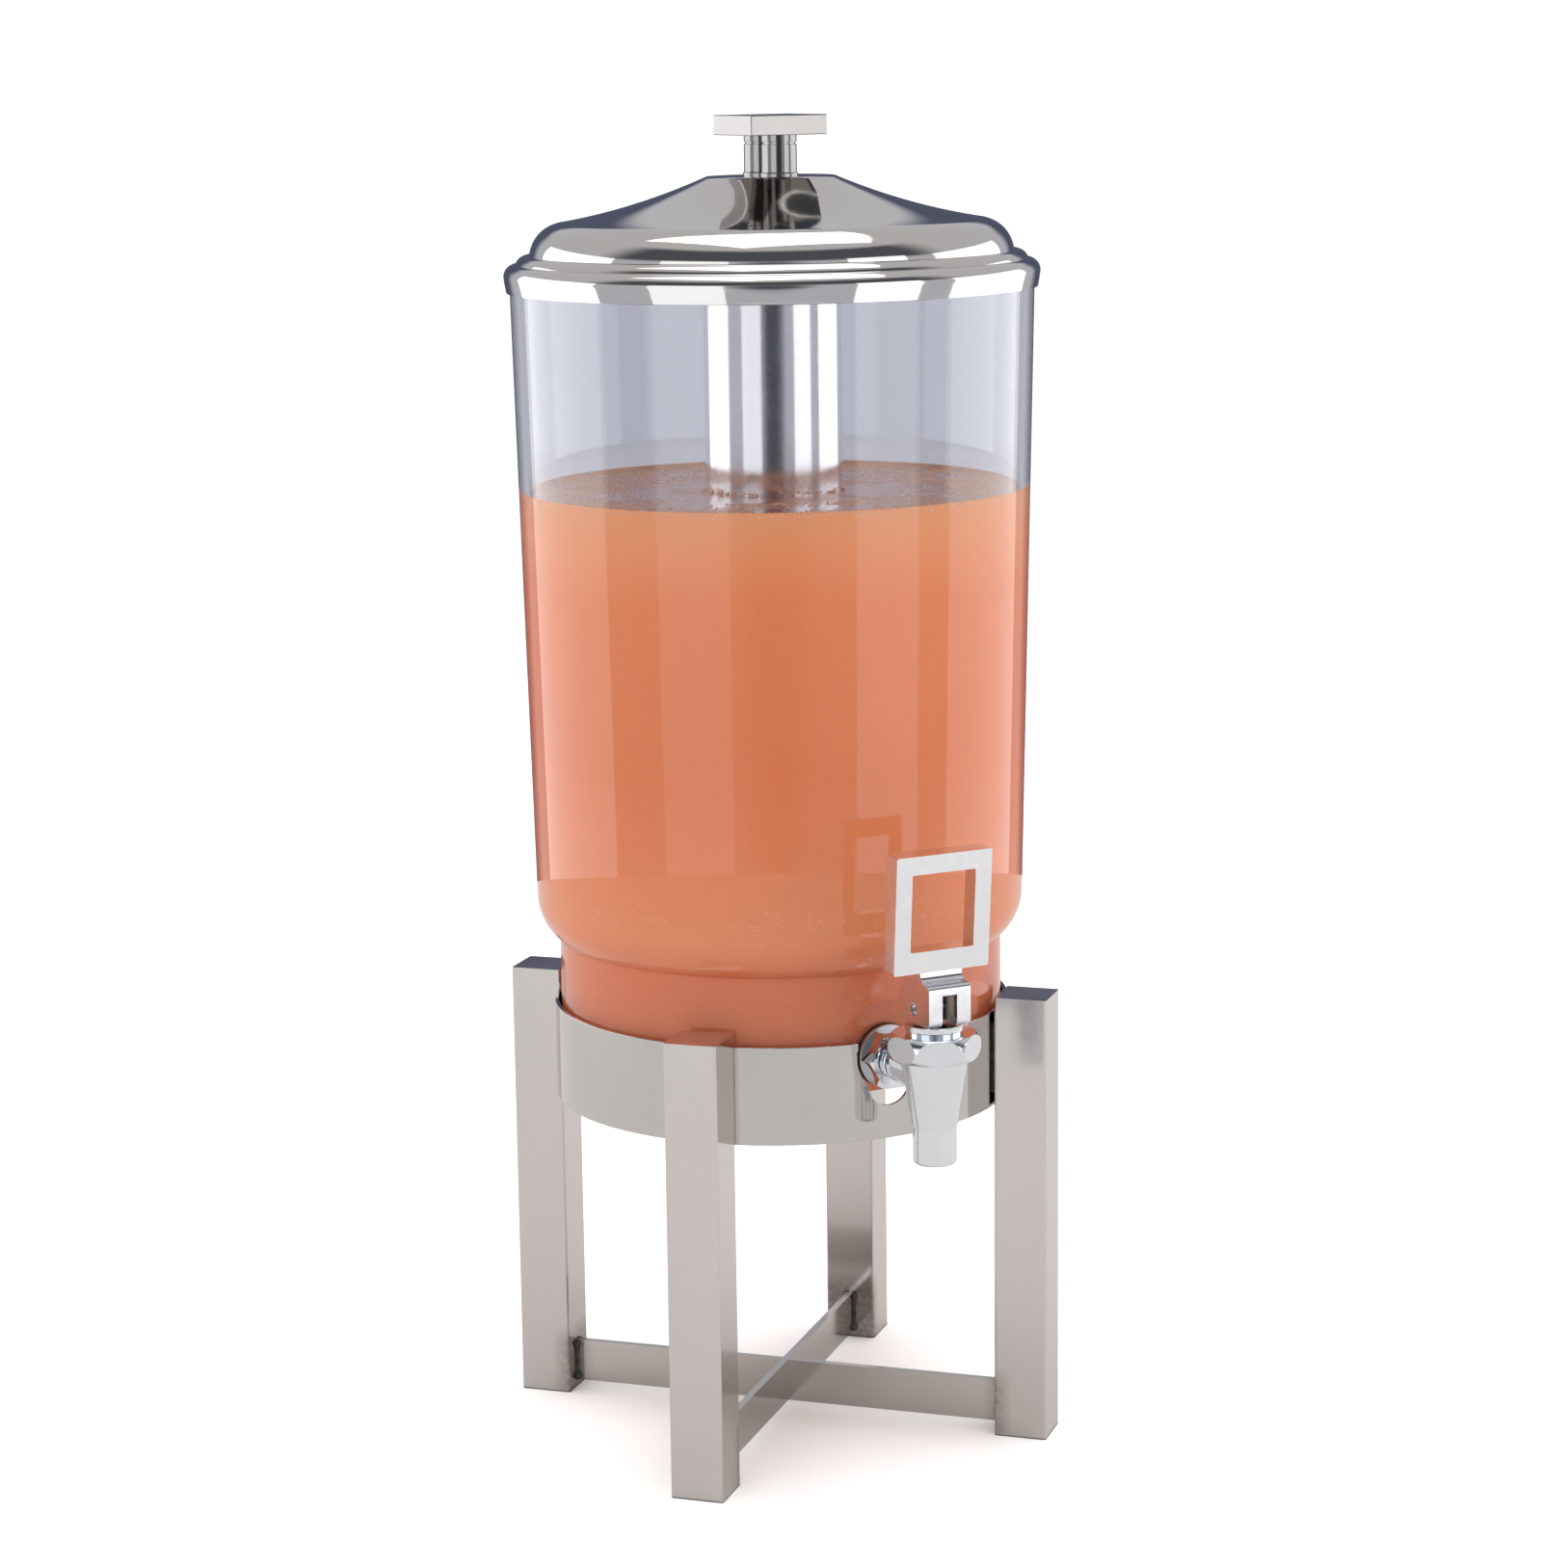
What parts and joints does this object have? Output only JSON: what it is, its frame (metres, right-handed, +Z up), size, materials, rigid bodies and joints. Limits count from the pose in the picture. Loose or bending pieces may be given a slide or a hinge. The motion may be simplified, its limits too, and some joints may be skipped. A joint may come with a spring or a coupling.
{
  "type": "beverage dispenser",
  "caption": "Clear round juice dispenser with a lift-off steel lid, hung ice tube and lever faucet, standing in a four-legged steel stand.",
  "frame": {"origin": "on the floor, under the axis of the tank, in the middle of the four feet", "axes": "+Z up along the tank's axis, -Y towards the front, where the faucet is, +X to the right seen from the front"},
  "size_m": [0.2166, 0.2576, 0.5436],
  "materials": {
    "satin_steel": "fine brushed",
    "polished_steel": "mirror polished",
    "chrome": "polished",
    "clear_plastic": "clear",
    "black_rubber": "matte",
    "silicone": "translucent matte",
    "black_nylon": "moulded",
    "stem_steel": "plain turned",
    "plain_steel": "plain",
    "weld": "dark weld"
  },
  "bodies": {
    "stand": {"leg_front_right": "satin_steel", "leg_cap_front_right": "satin_steel", "foot_glide_front_right": "black_nylon", "support_tab_front_right": "polished_steel", "leg_back_right": "satin_steel", "leg_cap_back_right": "satin_steel", "foot_glide_back_right": "black_nylon", "support_tab_back_right": "polished_steel", "leg_back_left": "satin_steel", "leg_cap_back_left": "satin_steel", "foot_glide_back_left": "black_nylon", "support_tab_back_left": "polished_steel", "leg_front_left": "satin_steel", "leg_cap_front_left": "satin_steel", "foot_glide_front_left": "black_nylon", "support_tab_front_left": "polished_steel", "cross_bar_front_left_to_back_right": "satin_steel", "cross_bar_front_right_to_back_left": "satin_steel", "cross_welds": "weld", "ring_welds": "weld", "support_ring": "polished_steel"},
    "vessel": {"tank": "clear_plastic", "faucet_body": "chrome", "bonnet": "chrome", "stem_o_ring": "black_rubber", "outer_gasket": "black_rubber", "shank_washer": "plain_steel", "jam_nut": "chrome", "inner_gasket": "silicone", "lock_nut": "plain_steel"},
    "valve_stem": {"stem": "stem_steel", "seat_cup": "silicone"},
    "lever": {"handle": "chrome", "pivot_pin": "stem_steel"},
    "lid": {"lid_shell": "polished_steel", "lid_skirt": "polished_steel", "lid_gasket": "silicone", "knob_plate": "polished_steel", "knob_post_front": "polished_steel", "knob_post_back": "polished_steel", "knob_screws": "plain_steel", "knob_washers": "plain_steel", "tube_socket": "polished_steel", "socket_lugs": "polished_steel"},
    "cooling_tube": {"ice_tube": "polished_steel", "ice_tube_cap": "polished_steel"}
  },
  "joints": [
    {"name": "vessel_lift", "type": "slide", "parent": "stand", "child": "vessel", "axis": [0, 0, 1], "range_m": [0, 0.06]},
    {"name": "lever_tilt", "type": "hinge", "parent": "valve_stem", "child": "lever", "pos_m": [0, -0.131, 0.2038], "axis": [1, 0, 0], "range_deg": [0, 30], "stiffness_Nm_per_rad": 0.6, "springref_deg": -22.92},
    {"name": "stem_lift", "type": "slide", "parent": "vessel", "child": "valve_stem", "axis": [0, 0, 1], "range_m": [0, 0.0041]},
    {"name": "lid_lift", "type": "slide", "parent": "vessel", "child": "lid", "axis": [0, 0, 1], "range_m": [0, 0.29]},
    {"name": "tube_twist", "type": "hinge", "parent": "lid", "child": "cooling_tube", "pos_m": [0, 0, 0.498], "axis": [0, 0, 1], "range_deg": [0, 35]}
  ],
  "couplings": [
    {"joint": "stem_lift", "follows": "lever_tilt", "m_per_rad": 0.0078}
  ]
}
